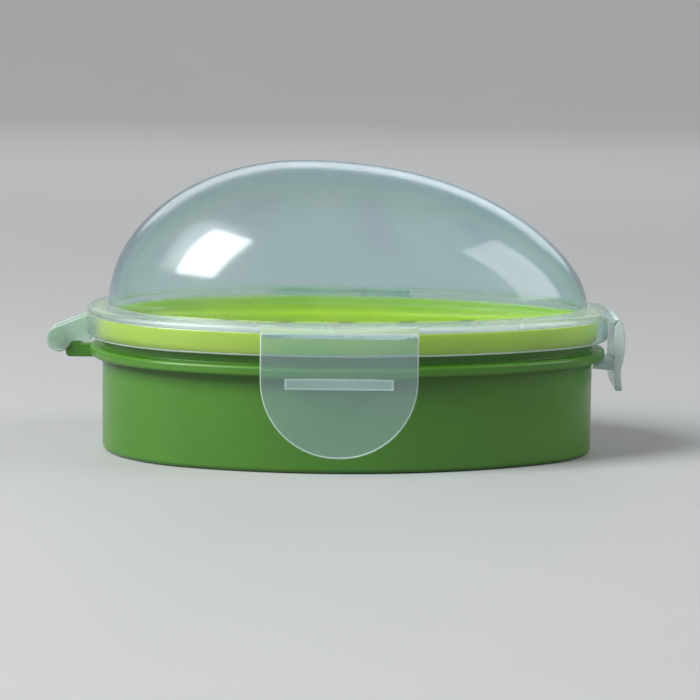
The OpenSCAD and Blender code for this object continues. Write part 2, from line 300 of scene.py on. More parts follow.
def rounded(corners):
    """Line through corners (x, y, radius), each rounded by its radius."""
    line = []
    for i, (x, y, r) in enumerate(corners):
        if r == 0:
            line.append((x, y))
            continue
        here = Vector((x, y))
        back = (Vector(corners[i - 1][:2]) - here).normalized()
        ahead = (Vector(corners[(i + 1) % len(corners)][:2]) - here).normalized()
        half = back.angle(ahead) / 2
        centre = here + (back + ahead).normalized() * (r / math.sin(half))
        start = here + back * (r / math.tan(half)) - centre
        end = here + ahead * (r / math.tan(half)) - centre
        first = math.atan2(start.y, start.x)
        turn = math.remainder(math.atan2(end.y, end.x) - first, FULL)
        steps = max(2, round(abs(turn) / ARC_STEP))
        line += arc(centre.x, centre.y, r, first, turn, steps)
    return line


def inset_line(line, inset):
    """Closed line moved inwards."""
    n = len(line)
    area = sum(line[i - 1][0] * line[i][1] - line[i][0] * line[i - 1][1] for i in range(n))
    side = math.copysign(1, area)
    moved = []
    for i in range(n):
        here = Vector(line[i])
        back = (here - Vector(line[i - 1])).normalized()
        ahead = (Vector(line[(i + 1) % n]) - here).normalized()
        n0 = Vector((-back.y, back.x)) * side
        n1 = Vector((-ahead.y, ahead.x)) * side
        moved.append(tuple(here + (n0 + n1) * (inset / (1 + n0.dot(n1)))))
    return moved


def smooth(obj):
    """Smooth shading with sharp edges kept."""
    obj.data.shade_smooth()
    obj.data.set_sharp_from_angle(angle=SHARP)


def to_object(name, bm):
    """Smooth-shaded object from a bmesh."""
    bmesh.ops.recalc_face_normals(bm, faces=bm.faces)
    mesh = bpy.data.meshes.new(name)
    bm.to_mesh(mesh)
    bm.free()
    obj = bpy.data.objects.new(name, mesh)
    bpy.context.scene.collection.objects.link(obj)
    smooth(obj)
    return obj


def loft(name, rows):
    """Mesh through rows of points. An end row of one point is a pole, others are closed by a face."""
    bm = bmesh.new()
    verts = [[bm.verts.new(Vector(p) * MM) for p in row] for row in rows]
    for low, high in zip(verts, verts[1:]):
        n = max(len(low), len(high))
        for i in range(n):
            j = (i + 1) % n
            corners = [low[i % len(low)], low[j % len(low)], high[j % len(high)], high[i % len(high)]]
            bm.faces.new(list(dict.fromkeys(corners)))
    for row in (verts[0], verts[-1]):
        if len(row) > 1:
            bm.faces.new(row)
    return to_object(name, bm)


def slab(name, outline, low, high, edge, place, steps=1):
    """Plate between two heights with rounded rims; place turns (x, y, height) into a point."""
    turns = [math.radians(a) for a in RIM_TURNS]
    rims = [(edge * (1 - math.sin(t)), edge * (1 - math.cos(t))) for t in turns]
    levels = [(inset, low + rise) for inset, rise in rims]
    levels += [(0, low + edge + (high - low - 2 * edge) * k / steps) for k in range(1, steps)]
    levels += [(inset, high - rise) for inset, rise in rims[::-1]]
    rows = [[place(x, y, h) for x, y in inset_line(outline, inset)] for inset, h in levels]
    return loft(name, rows)


def join(name, parts, *materials):
    """One object from several meshes, whose faces keep their material indices."""
    bm = bmesh.new()
    for part in parts:
        bm.from_mesh(part.data)
        bpy.data.objects.remove(part)
    obj = to_object(name, bm)
    for material in materials:
        obj.data.materials.append(material)
    return obj


def boolean(obj, other, operation):
    """Cuts other from obj or joins it on, and takes other away."""
    step = obj.modifiers.new("boolean", "BOOLEAN")
    step.operation = operation
    step.solver = "EXACT"
    step.object = other
    seen = obj.evaluated_get(bpy.context.evaluated_depsgraph_get())
    mesh = bpy.data.meshes.new_from_object(seen)
    obj.modifiers.clear()
    obj.data = mesh
    bpy.data.objects.remove(other)
    bm = bmesh.new()
    bm.from_mesh(mesh)
    bmesh.ops.remove_doubles(bm, verts=bm.verts, dist=WELD * MM)
    bmesh.ops.dissolve_degenerate(bm, edges=bm.edges, dist=WELD * MM)
    bm.to_mesh(mesh)
    bm.free()
    smooth(obj)


def dress(obj, index, *materials):
    """Gives a mesh its materials, and all its faces the one with this index."""
    for material in materials:
        obj.data.materials.append(material)
    obj.data.polygons.foreach_set("material_index", [index] * len(obj.data.polygons))
    return obj


def add_piece(obj, body, slot, *nodes):
    """Gives a finished mesh its body and hides the CAD nodes that it stands for. The slot is not used."""
    normals = obj.modifiers.new("normals", "WEIGHTED_NORMAL")
    normals.keep_sharp = True
    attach(obj, body)
    if nodes:
        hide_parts(*nodes)


def along_y(x, z, y):
    """Places a side view."""
    return x, y, z


def flat(x, y, z):
    """Places a plan view."""
    return x, y, z


# Materials. Tones are the darker and lighter colour, gloss is the lower and higher roughness, and
# veil is the bluish haze on clear plastic.

MOTTLE = {"Scale": 42, "Detail": 4}
MOTTLE_RANGE = {"From Min": 0.35, "From Max": 0.65}
TONE_STOPS = 0.35, 0.68
BUMP_DEPTH = 0.1
BUMP_DETAIL = 2
SOLID_GRAIN = {"scale": 900, "strength": 0.12}
CLEAR_GRAIN = {"scale": 500, "strength": 0.06}
SOLID_IOR = 1.49
CLEAR_IOR = 1.45
GLOW_RADIUS = 1, 1, 0.3
GLOW_DEPTH = 5
VEIL = 0.35, 0.72, 1, 1
VEIL_ROUGHNESS = 0.5


def set_inputs(node, values):
    """Sets a node's sockets by name."""
    for name, value in values.items():
        node.inputs[name].default_value = value


def new_material(name, gloss):
    """Material with a Principled shader, an object-space noise and its roughness range."""
    mat = bpy.data.materials.new(name)
    mat.use_nodes = True
    nodes, links = mat.node_tree.nodes, mat.node_tree.links
    shader = nodes["Principled BSDF"]
    place = nodes.new("ShaderNodeTexCoord")
    mottle = nodes.new("ShaderNodeTexNoise")
    set_inputs(mottle, MOTTLE)
    links.new(place.outputs["Object"], mottle.inputs["Vector"])
    rough = nodes.new("ShaderNodeMapRange")
    set_inputs(rough, {**MOTTLE_RANGE, "To Min": gloss[0], "To Max": gloss[1]})
    links.new(mottle.outputs["Fac"], rough.inputs["Value"])
    links.new(rough.outputs["Result"], shader.inputs["Roughness"])
    return mat, shader, place, mottle


def add_colour(mat, shader, mottle, tones):
    """Colour that drifts slightly between two tones."""
    nodes, links = mat.node_tree.nodes, mat.node_tree.links
    ramp = nodes.new("ShaderNodeValToRGB")
    for stop, position, tone in zip(ramp.color_ramp.elements, TONE_STOPS, tones):
        stop.position = position
        stop.color = (*tone, 1)
    links.new(mottle.outputs["Fac"], ramp.inputs["Fac"])
    links.new(ramp.outputs["Color"], shader.inputs["Base Color"])


def add_bump(mat, shader, place, scale, strength):
    """Fine waviness of a moulded surface."""
    nodes, links = mat.node_tree.nodes, mat.node_tree.links
    grain = nodes.new("ShaderNodeTexNoise")
    set_inputs(grain, {"Scale": scale, "Detail": BUMP_DETAIL})
    links.new(place.outputs["Object"], grain.inputs["Vector"])
    bump = nodes.new("ShaderNodeBump")
    set_inputs(bump, {"Strength": strength, "Distance": BUMP_DEPTH * MM})
    links.new(grain.outputs["Fac"], bump.inputs["Height"])
    links.new(bump.outputs["Normal"], shader.inputs["Normal"])


def add_larger(mat, first, second):
    """Larger of two values."""
    larger = mat.node_tree.nodes.new("ShaderNodeMath")
    larger.operation = "MAXIMUM"
    mat.node_tree.links.new(first, larger.inputs[0])
    mat.node_tree.links.new(second, larger.inputs[1])
    return larger.outputs["Value"]


def mix_surface(mat, share, first, second):
    """Surface that changes from the first shader to the second by share."""
    nodes, links = mat.node_tree.nodes, mat.node_tree.links
    mix = nodes.new("ShaderNodeMixShader")
    links.new(share, mix.inputs["Fac"])
    links.new(first.outputs["BSDF"], mix.inputs[1])
    links.new(second.outputs["BSDF"], mix.inputs[2])
    links.new(mix.outputs["Shader"], nodes["Material Output"].inputs["Surface"])


def solid_plastic(name, tones, gloss, translucent=0):
    """Moulded plastic that is opaque, or glows with the light inside it."""
    mat, shader, place, mottle = new_material(name, gloss)
    add_colour(mat, shader, mottle, tones)
    add_bump(mat, shader, place, **SOLID_GRAIN)
    set_inputs(
        shader,
        {
            "IOR": SOLID_IOR,
            "Subsurface Weight": translucent,
            "Subsurface Radius": GLOW_RADIUS,
            "Subsurface Scale": GLOW_DEPTH * MM,
        },
    )
    return mat


def clear_plastic(name, tones, gloss, clear, sheen, shade):
    """Moulded hazy plastic: rough glass with some scattered light. Lamp light passes it, dimmed by shade."""
    mat, shader, place, mottle = new_material(name, gloss)
    add_colour(mat, shader, mottle, tones)
    add_bump(mat, shader, place, **CLEAR_GRAIN)
    set_inputs(
        shader,
        {
            "IOR": CLEAR_IOR,
            "Transmission Weight": clear,
            "Sheen Weight": sheen,
            "Sheen Roughness": VEIL_ROUGHNESS,
            "Sheen Tint": VEIL,
        },
    )
    rays = mat.node_tree.nodes.new("ShaderNodeLightPath").outputs
    through = mat.node_tree.nodes.new("ShaderNodeBsdfTransparent")
    through.inputs["Color"].default_value = (*shade, 1)
    mix_surface(mat, add_larger(mat, rays["Is Shadow Ray"], rays["Is Diffuse Ray"]), shader, through)
    return mat


GREEN_TONES = (0.085, 0.265, 0.028), (0.095, 0.285, 0.033)
LIME_TONES = (0.49, 0.71, 0.02), (0.54, 0.77, 0.03)
DOME_TONES = (0.82, 0.93, 0.97), (0.86, 0.95, 0.985)
SKIRT_TONES = (0.83, 0.93, 0.89), (0.87, 0.95, 0.91)
FLANGE_TONES = (0.74, 0.86, 0.79), (0.79, 0.9, 0.83)
FLAP_TONES = (0.68, 0.87, 0.88), (0.73, 0.91, 0.92)
EDGE_TONES = (0.77, 0.91, 0.84), (0.83, 0.95, 0.89)
EAR_TONES = (0.6, 0.79, 0.68), (0.65, 0.83, 0.73)
GREEN_GLOSS = 0.22, 0.34
LIME_GLOSS = 0.3, 0.42
DOME_GLOSS = 0.07, 0.13
SKIRT_GLOSS = 0.08, 0.14
FLAP_GLOSS = 0.16, 0.26
THICK_GLOSS = 0.2, 0.3
DOME_LOOK = {"clear": 0.99, "sheen": 0.35, "shade": (0.93, 0.96, 0.97)}
SKIRT_LOOK = {"clear": 0.985, "sheen": 0.06, "shade": (0.96, 0.98, 0.98)}
# The skirt's lower outer band looks like the skirt but passes only about an eighth of the lamp light: a
# painted shadow that darkens the groove
SHADOW_BAND_LOOK = {**SKIRT_LOOK, "shade": (0.12, 0.13, 0.12)}
FLAP_LOOK = {"clear": 0.86, "sheen": 0.2, "shade": (0.9, 0.94, 0.94)}
# Milky plastic on rims, edges and the hinge web; its pale lines are partly a painted highlight, standing in
# for light caught and carried along clear edges
EDGE_HIGHLIGHT_LOOK = {"clear": 0.3, "sheen": 0.2, "shade": (0.85, 0.92, 0.92)}
THICK_LOOK = {"clear": 0.6, "sheen": 0.2, "shade": (0.88, 0.93, 0.93)}
FLANGE_LOOK = {"clear": 0.8, "sheen": 0.05, "shade": (0.9, 0.94, 0.92)}

GREEN = solid_plastic("green_plastic", GREEN_TONES, GREEN_GLOSS)
LIME = solid_plastic("lime_plastic", LIME_TONES, LIME_GLOSS, translucent=1)
DOME = clear_plastic("dome_plastic", DOME_TONES, DOME_GLOSS, **DOME_LOOK)
SKIRT = clear_plastic("skirt_plastic", SKIRT_TONES, SKIRT_GLOSS, **SKIRT_LOOK)
SHADOW_BAND = clear_plastic("skirt_shadow_band_plastic", SKIRT_TONES, SKIRT_GLOSS, **SHADOW_BAND_LOOK)
FLAP = clear_plastic("flap_plastic", FLAP_TONES, FLAP_GLOSS, **FLAP_LOOK)
EDGE_HIGHLIGHT = clear_plastic("edge_highlight_plastic", EDGE_TONES, THICK_GLOSS, **EDGE_HIGHLIGHT_LOOK)
THICK = clear_plastic("thick_plastic", EDGE_TONES, THICK_GLOSS, **THICK_LOOK)
FLANGE = clear_plastic("flange_plastic", FLANGE_TONES, THICK_GLOSS, **FLANGE_LOOK)
EAR = clear_plastic("ear_plastic", EAR_TONES, THICK_GLOSS, **THICK_LOOK)

# Material slots of the lid and of a flap, and the indices of their faces
LID_PLASTICS = DOME, SKIRT, FLANGE, EDGE_HIGHLIGHT, SHADOW_BAND, THICK, EAR
ON_DOME, ON_SKIRT, ON_FLANGE, ON_EDGE_HIGHLIGHT, ON_SHADOW_BAND, ON_THICK, ON_EAR = range(len(LID_PLASTICS))
FLAP_PLASTICS = FLAP, EDGE_HIGHLIGHT, THICK
ON_PANEL, ON_RIM_HIGHLIGHT, ON_HOOK = range(len(FLAP_PLASTICS))
FOOT_ZONE = 0.3
STEEP = 0.15
SIDEWAYS = 0.99


# Tub


def make_tub():
    """Tub with foot, bead, neck and rim, all edges rounded."""
    wall = -TUB_IN - TUB_WALL
    lip = -BEAD_IN - BEAD_T
    profile = rounded(
        [
            (-TUB_IN - 2 * FOOT_R, 0, 0),
            (-TUB_IN, 0, FOOT_R),
            (-TUB_IN, BEAD_Z1 - BEAD_T, EDGE_R),
            (lip, BEAD_Z1 - BEAD_T, EDGE_R),
            (lip, BEAD_Z0, EDGE_R),
            (-BEAD_IN, BEAD_Z0, BEAD_R),
            (-BEAD_IN, BEAD_Z1, BEAD_R),
            (-TUB_IN, BEAD_Z1, EDGE_R),
            (-TUB_IN, TUB_H, EDGE_R),
            (wall, TUB_H, EDGE_R),
            (wall, TUB_FLOOR, FLOOR_R),
            (wall - 2 * FLOOR_R, TUB_FLOOR, 0),
        ]
    )
    return loft("tub_shell", [egg_row(u, z) for u, z in profile])


def pin_row(y, r, steps):
    """Circle round the lid hinge's axis."""
    return [(x, y, z) for x, z in arc(PIN_X, PIN_Z, r, 0, FULL, steps)[:-1]]


def make_bracket():
    """Hinge bracket of the tub, with its two stub pins."""
    wall = -LID_L / 2 + TUB_IN + TUB_WALL / 2
    root = BEAD_Z0 - BRACKET_DROP
    top = BEAD_Z1 - BRACKET_STEP
    face = PIN_X + BRACKET_R / 2
    nape_x, nape_z = BRACKET_NAPE
    outline = arc(PIN_X, PIN_Z, BRACKET_R, BRACKET_START, BRACKET_TURN, BRACKET_STEPS)
    outline += rounded(
        [
            (face, PIN_Z - BRACKET_R, 0),
            (face + BRACKET_LEAN, root, BRACKET_HEEL_R),
            (wall, root, 0),
            (wall, top, 0),
            (PIN_X + 2 * BRACKET_R, top, BRACKET_NECK_R),
            (face + nape_x, PIN_Z + nape_z, 0),
        ]
    )
    bracket = slab("bracket", outline, -BRACKET_Y, BRACKET_Y, BRACKET_EDGE, along_y)
    thin, flank = PIN_R - PIN_CHAMFER, PIN_END - PIN_CHAMFER
    ends = (-PIN_END, thin), (-flank, PIN_R), (flank, PIN_R), (PIN_END, thin)
    pins = loft("pins", [pin_row(y, r, PIN_STEPS) for y, r in ends])
    return join("tub_hinge", [bracket, pins])


# Tray


def slot_row(x, side, length, grow, z):
    """Row of points round a drain slot, made wider by grow."""
    r = SLOT_W / 2 + grow
    far = arc(0, length, r, 0, math.pi, SLOT_STEPS)
    near = arc(0, 0, r, math.pi, math.pi, SLOT_STEPS)
    return [(x + px, side * (SLOT_Y + py), z) for px, py in far + near]


def make_tray():
    """Tray with collar, ledge, dish, chamfered drain slots and ribs."""
    inner = -COLLAR_IN - TRAY_T
    dish = -DISH_IN - TRAY_T
    profile = rounded(
        [
            (-DISH_IN - DISH_RUN, DISH_Z0, 0),
            (-DISH_IN, DISH_Z0, DISH_OUTER_R),
            (-DISH_IN, TUB_H, DISH_TOP_R),
            (-COLLAR_IN, TUB_H, COLLAR_FOOT_R),
            (-COLLAR_IN, COLLAR_Z1, COLLAR_R),
            (inner, COLLAR_Z1, COLLAR_R),
            (inner, TUB_H + TRAY_T, LEDGE_R),
            (dish, TUB_H + TRAY_T, LEDGE_R),
            (dish, DISH_Z1, DISH_INNER_R),
            (dish - DISH_RUN, DISH_Z1, 0),
        ]
    )
    tray = loft("tray_shell", [egg_row(u, z) for u, z in profile])
    wide = SLOT_CHAMFER
    levels = [(DISH_Z0 - SLOT_PAST, wide), (DISH_Z0, wide), (DISH_Z0 + SLOT_CHAMFER, 0)]
    levels += [(DISH_Z1 - SLOT_CHAMFER, 0), (DISH_Z1, wide), (DISH_Z1 + SLOT_PAST, wide)]
    slots = []
    for i in range(SLOT_COUNT):
        x = (i - (SLOT_COUNT - 1) / 2) * SLOT_PITCH
        length = half_width(x, DISH_IN + TRAY_T + SLOT_RIM) - SLOT_Y
        for side in (-1, 1):
            slots.append(loft("slot", [slot_row(x, side, length, grow, z) for z, grow in levels]))
    boolean(tray, join("slots", slots), "DIFFERENCE")
    ribs = []
    for i in range(SLOT_COUNT + 1):
        x = (i - SLOT_COUNT / 2) * SLOT_PITCH
        y = half_width(x, DISH_IN + TRAY_T + SLOT_RIM) + SLOT_W / 2
        w, r = RIB_W / 2, RIB_END_R
        bar = rounded([(x - w, -y, r), (x + w, -y, r), (x + w, y, r), (x - w, y, r)])
        ribs.append(slab("rib", bar, DISH_Z1 - TRAY_T / 2, DISH_Z1 + RIB_H, RIB_EDGE, flat))
    boolean(tray, join("ribs", ribs), "UNION")
    return tray


# Lid


def dome(turn, rise, inset):
    """Point of the dome: a hemisphere stretched to the dome's length, width and height."""
    c = math.cos(rise) * math.cos(turn)
    reach = DOME_A + math.copysign(PEAK, c) - inset
    swell = (DOME_R - inset) * (1 - DRAW_IN * max(c, 0) ** DRAW_POWER)
    return -PEAK + c * reach, swell * math.cos(rise) * math.sin(turn), FLANGE_Z1 + swell * math.sin(rise)


def dome_turn(angle):
    """Turn at which the foot of the dome faces the outline's point with this normal angle."""
    x, y = egg(angle, 0)
    target = math.atan2(y, x - WIDE_X) % FULL
    low, high = 0, FULL
    for _ in range(HALVINGS):
        turn = (low + high) / 2
        fx, fy, _z = dome(turn, 0, 0)
        if math.atan2(fy, fx - WIDE_X) % FULL < target:
            low = turn
        else:
            high = turn
    return (low + high) / 2


TURNS = [dome_turn(angle) for angle in RING]


def foot_row(inset, out, z):
    """Row round the foot of the dome, moved outwards, at one height."""
    row = []
    for turn in TURNS:
        x, y, _z = dome(turn, 0, inset)
        x0, y0, _z = dome(turn - NUDGE, 0, inset)
        x1, y1, _z = dome(turn + NUDGE, 0, inset)
        long = math.hypot(x1 - x0, y1 - y0)
        row.append((x + out * (y1 - y0) / long, y - out * (x1 - x0) / long, z))
    return row


def dome_rows(inset, first):
    """Rows of the dome from its peak down to a first rise above the foot."""
    rises = [first + (QUARTER - first) * k / DOME_STEPS for k in range(DOME_STEPS - 1, -1, -1)]
    peak = [dome(0, QUARTER, inset)]
    return [peak] + [[dome(turn, rise, inset) for turn in TURNS] for rise in rises]


def faces_out(face):
    """True for a face that looks away from the middle of the lid."""
    return face.normal.x * (face.center.x - WIDE_X * MM) + face.normal.y * face.center.y > 0


def lid_look(face):
    """Material index of a face of the lid's shell."""
    z = face.center.z
    # Rounded bottom edge of the skirt: milky plastic whose pale line is partly a painted highlight
    if z < (SKIRT_Z0 + SKIRT_EDGE) * MM:
        return ON_EDGE_HIGHLIGHT
    # Lower outer band of the skirt, which casts a painted shadow into the groove
    if z < (SKIRT_Z0 + SKIRT_SHADOW_BAND) * MM and faces_out(face):
        return ON_SHADOW_BAND
    if z < (FLANGE_Z1 + FOOT_ZONE) * MM:
        return ON_FLANGE if abs(face.normal.z) > STEEP else ON_SKIRT
    return ON_DOME


def make_lid_shell():
    """Dome, flange, skirt and lip as one closed surface."""
    rows = dome_rows(0, DOME_FILLET / DOME_R)
    for x, z in arc(DOME_FILLET, DOME_FILLET, DOME_FILLET, math.pi, QUARTER, DOME_FILLET_STEPS)[1:]:
        rows.append(foot_row(0, x, FLANGE_Z1 + z))
    profile = rounded(
        [
            (-SHOULDER_R - SHOULDER_RUN, FLANGE_Z1, 0),
            (0, FLANGE_Z1, SHOULDER_R),
            # Row where the band that casts the painted shadow into the groove ends
            (0, SKIRT_Z0 + SKIRT_SHADOW_BAND, 0),
            (0, SKIRT_Z0, SKIRT_EDGE),
            (-SKIRT_T, SKIRT_Z0, SKIRT_EDGE),
            (-SKIRT_T, FLANGE_Z0, SKIRT_TOP_R),
            (-SKIRT_T - SKIRT_RUN, FLANGE_Z0, 0),
        ]
    )
    rows += [egg_row(u, z) for u, z in profile]
    r = LIP_R
    rows += [foot_row(0, x, FLANGE_Z0 + z) for x, z in arc(r, -r, r, QUARTER, QUARTER, LIP_STEPS)]
    rows += [foot_row(0, x, LIP_Z0 + z) for x, z in arc(-r, r, r, 0, -QUARTER, LIP_STEPS)]
    rows += [foot_row(DOME_T, x, LIP_Z0 + z) for x, z in arc(r, r, r, -QUARTER, -QUARTER, LIP_STEPS)]
    rows.append(foot_row(DOME_T, 0, FLANGE_Z1 - DOME_WALL_DROP))
    rows += dome_rows(DOME_T, 0)[::-1]
    lid = dress(loft("lid_shell", rows), ON_DOME, *LID_PLASTICS)
    for face in lid.data.polygons:
        face.material_index = lid_look(face)
    return lid


def make_root(width, sag, place):
    """Rounded root that leads from the flange down to a flap's living hinge."""
    low = WEB_Z - FLAP_KNEE
    deep = sag + SKIRT_T + SHOULDER_R
    top = FLANGE_Z1 - ROOT_SINK
    drop = top - WEB_Z - WEB_T / 2
    turn = math.acos(1 - drop / HOOD_R)
    hood = arc(WEB_U0 - HOOD_R * math.sin(turn), top - HOOD_R, HOOD_R, QUARTER - turn, turn, HOOD_STEPS)
    outline = [(-deep, low), (WEB_U0, low)] + hood + [(-deep, top)]
    return slab("root", outline, -width / 2, width / 2, ROOT_EDGE, place)


def sagitta(r, half):
    """Depth of an arc over half its chord."""
    return r - math.sqrt(r * r - half * half)


def make_ear(side):
    """Hinge ear: round end and the arm that rises to the skirt."""
    lean = QUARTER + EAR_SLOPE
    outline = arc(PIN_X, PIN_Z, EAR_R, lean, EAR_END - lean, EAR_STEPS)
    low = PIN_Z - EAR_DROP
    top_x = PIN_X + EAR_R * math.cos(lean)
    top_z = PIN_Z + EAR_R * math.sin(lean)
    outline += [(PIN_X + EAR_R + EAR_NECK, low), (EAR_X, low)]
    outline.append((EAR_X, top_z + (EAR_X - top_x) * math.tan(EAR_SLOPE)))
    low_y, high_y = sorted((side * EAR_Y0, side * EAR_Y1))
    return slab("ear", outline, low_y, high_y, EAR_EDGE, along_y)


def make_bore(side):
    """Space for a stub pin in an ear."""
    ends = EAR_Y0 - BORE_PAST, PIN_END + BORE_REST
    return loft("bore", [pin_row(side * y, PIN_R + PIN_FIT, BORE_STEPS) for y in ends])


def make_lid():
    """Lid with flap roots and hinge ears joined on."""
    lid = make_lid_shell()
    side_sag = sagitta(SIDE_R, SIDE_FLAP_W / 2 + abs(SIDE_FLAP_X - WIDE_X))
    end_sag = sagitta(NARROW_R, END_FLAP_W / 2)
    roots = [make_root(SIDE_FLAP_W, side_sag, at_front), make_root(SIDE_FLAP_W, side_sag, at_rear)]
    roots.append(make_root(END_FLAP_W, end_sag, at_end))
    roots = join("roots", roots)
    inside = loft("inside", [egg_row(-SKIRT_T / 2, z) for z in (SKIRT_Z0, FLANGE_Z0 + FLANGE_T / 2)])
    boolean(roots, inside, "DIFFERENCE")
    ears = dress(join("ears", [make_ear(-1), make_ear(1)]), ON_EAR, *LID_PLASTICS)
    for face in ears.data.polygons:
        if abs(face.normal.y) < SIDEWAYS:
            face.material_index = ON_THICK
    bores = dress(join("bores", [make_bore(-1), make_bore(1)]), ON_FLANGE, *LID_PLASTICS)
    boolean(ears, bores, "DIFFERENCE")
    added = join("added", [dress(roots, ON_THICK, *LID_PLASTICS), ears], *LID_PLASTICS)
    boolean(lid, added, "UNION")
    return lid


# Flaps


def at_front(u, z, v):
    """Places a flap's section at the front of the lid."""
    return SIDE_FLAP_X + v, -LID_W / 2 - u, z


def at_rear(u, z, v):
    """Places a flap's section at the rear of the lid."""
    return SIDE_FLAP_X + v, LID_W / 2 + u, z


def at_end(u, z, v):
    """Places a flap's section at the narrow end of the lid."""
    return LID_L / 2 + u, v, z


def flap_faces(z, low):
    """Inner and outer face of a flap at height z, measured outwards from the skirt."""
    inner, outer = FLAP_GAP, FLAP_GAP + FLAP_T
    if z >= HOOK_Z:
        outer += FLAP_BELLY * math.sin(math.pi * (WEB_Z - z) / (WEB_Z - HOOK_Z))
    else:
        flare = FLAP_FLARE * ((HOOK_Z - z) / (HOOK_Z - low)) ** 2
        inner, outer = inner + flare, outer + flare
    knee = WEB_Z - FLAP_KNEE
    if z > knee:
        knee_out = flap_faces(knee, low)[1]
        outer = knee_out + (WEB_U1 - knee_out) * (z - knee) / (WEB_Z + WEB_T / 2 - knee)
    slope = z - (WEB_Z - WEB_T / 2 - (WEB_U1 - FLAP_GAP))
    inner = min(max(inner, FLAP_GAP + slope), WEB_U1)
    return inner, max(outer, inner + FLAP_THIN)


def flap_loop(width, low, corner, inset):
    """Front view of a flap as (v, z) points, moved inwards: top edge, sides and rounded lower corners."""
    w, top, r = width / 2 - inset, WEB_Z + WEB_T / 2 - inset, max(corner - inset, FLAP_THIN)
    bottom = low + inset
    tip = TIP_R if inset < TIP_ZONE else TIP_INSET_R
    side = [top - tip - (top - tip - bottom - r) * k / SIDE_STEPS for k in range(SIDE_STEPS + 1)]
    points = [(-w + tip + (2 * w - 2 * tip) * k / TOP_STEPS, top) for k in range(TOP_STEPS + 1)]
    points += arc(w - tip, top - tip, tip, QUARTER, -QUARTER, TIP_STEPS)[1:]
    points += [(w, z) for z in side[1:]]
    points += arc(w - r, bottom + r, r, 0, -QUARTER, CORNER_STEPS)[1:]
    shares = [1 - k / BOTTOM_STEPS for k in range(1, BOTTOM_STEPS + 1)]
    points += [(-w + r + (2 * w - 2 * r) * share, bottom) for share in shares]
    points += arc(-w + r, bottom + r, r, -QUARTER, -QUARTER, CORNER_STEPS)[1:]
    points += [(-w, z) for z in side[-2::-1]]
    points += arc(-w + tip, top - tip, tip, math.pi, -QUARTER, TIP_STEPS)[1:-1]
    return points


def make_hook(width, radius, middle, place):
    """Hook with a flat seat in the flap. Its tip follows the tub's wall, an arc round middle."""
    top = HOOK_Z + (FLAP_GAP - HOOK_TIP) * HOOK_SLOPE
    outline = rounded(
        [
            (HOOK_TIP, HOOK_Z - HOOK_TIP_T, HOOK_EDGE),
            (FLAP_GAP, HOOK_ROOT_Z, 0),
            (HOOK_SEAT, HOOK_ROOT_Z, 0),
            (HOOK_SEAT, HOOK_ROOT_Z + HOOK_LINE, 0),
            (HOOK_SEAT, top - HOOK_LINE, 0),
            (HOOK_SEAT, top, 0),
            (FLAP_GAP, top, 0),
            (HOOK_TIP, HOOK_Z, HOOK_EDGE),
        ]
    )

    def bend(u, z, v):
        v *= 1 - HOOK_DRAFT * max(FLAP_GAP - u, 0) / width
        if u < FLAP_GAP:
            u = math.sqrt((radius + u) ** 2 - (v - middle) ** 2) - radius
        return place(u, z, v)

    hook = slab("hook", outline, -width / 2, width / 2, HOOK_EDGE, bend, HOOK_STEPS)
    dress(hook, ON_HOOK)
    # A pale line round the seat in milky plastic, partly a painted highlight: its lower and upper strip, and
    # the rim and one step at both ends
    first = outline.index((HOOK_SEAT, HOOK_ROOT_Z))
    rim = len(RIM_TURNS) - 1
    last = HOOK_STEPS + 2 * rim - 1
    for face in hook.data.polygons:
        row, side = divmod(face.index, len(outline))
        at_seat_end = side == first + 1 and not rim < row < last - rim
        if side in (first, first + 2) or at_seat_end:
            face.material_index = ON_RIM_HIGHLIGHT
    return hook


def make_flap(name, width, low, corner, place):
    """Bowed flap with a rounded rim, which below the top edge is milky plastic whose pale line is partly a
    painted highlight.
    """
    tall = WEB_Z - low
    deepest = min(FLAP_REACH * width, FLAP_REACH * tall, tall - corner - FLAP_CORNER_ROOM)
    shares = [(k / FLAP_STEPS) ** FLAP_SPREAD for k in range(FLAP_STEPS, 0, -1)]
    panel = [(FLAP_RIM + (deepest - FLAP_RIM) * share, 0) for share in shares]
    turns = [math.radians(a) for a in FLAP_RIM_TURNS]
    rims = [(FLAP_RIM * (1 - math.sin(t)), 1 - math.cos(t)) for t in turns]
    rows = []
    for outside, levels in ((True, panel + rims), (False, rims[::-1] + panel[::-1])):
        for inset, sink in levels:
            row = []
            for v, z in flap_loop(width, low, corner, inset):
                inner, outer = flap_faces(z, low)
                rim = min(FLAP_RIM, FLAP_RIM_SHARE * (outer - inner))
                row.append(place(outer - rim * sink if outside else inner + rim * sink, z, v))
            rows.append(row)
    flap = dress(loft(name, rows), ON_PANEL)
    # Rim faces below the top edge take the milky plastic, partly a painted highlight line
    for face in flap.data.polygons:
        row, place_in_row = divmod(face.index, len(rows[0]))
        if FLAP_STEPS <= row < FLAP_STEPS + 2 * len(rims) - 1 and place_in_row > TOP_STEPS:
            face.material_index = ON_RIM_HIGHLIGHT
    return flap


def make_web(name, width, place):
    """Living hinge between a root and its flap, with rows across the bend."""
    u0, u1 = WEB_U0 - WEB_LAP, WEB_U1 + WEB_LAP
    low, high = WEB_Z - WEB_T / 2, WEB_Z + WEB_T / 2 - WEB_SINK
    outline = [(u0 + (u1 - u0) * k / WEB_STEPS, low) for k in range(WEB_STEPS + 1)]
    outline += [(u1 - (u1 - u0) * k / WEB_STEPS, high) for k in range(WEB_STEPS + 1)]
    return slab(name, outline, -width / 2 + WEB_SIDE, width / 2 - WEB_SIDE, WEB_EDGE, place)


# The object

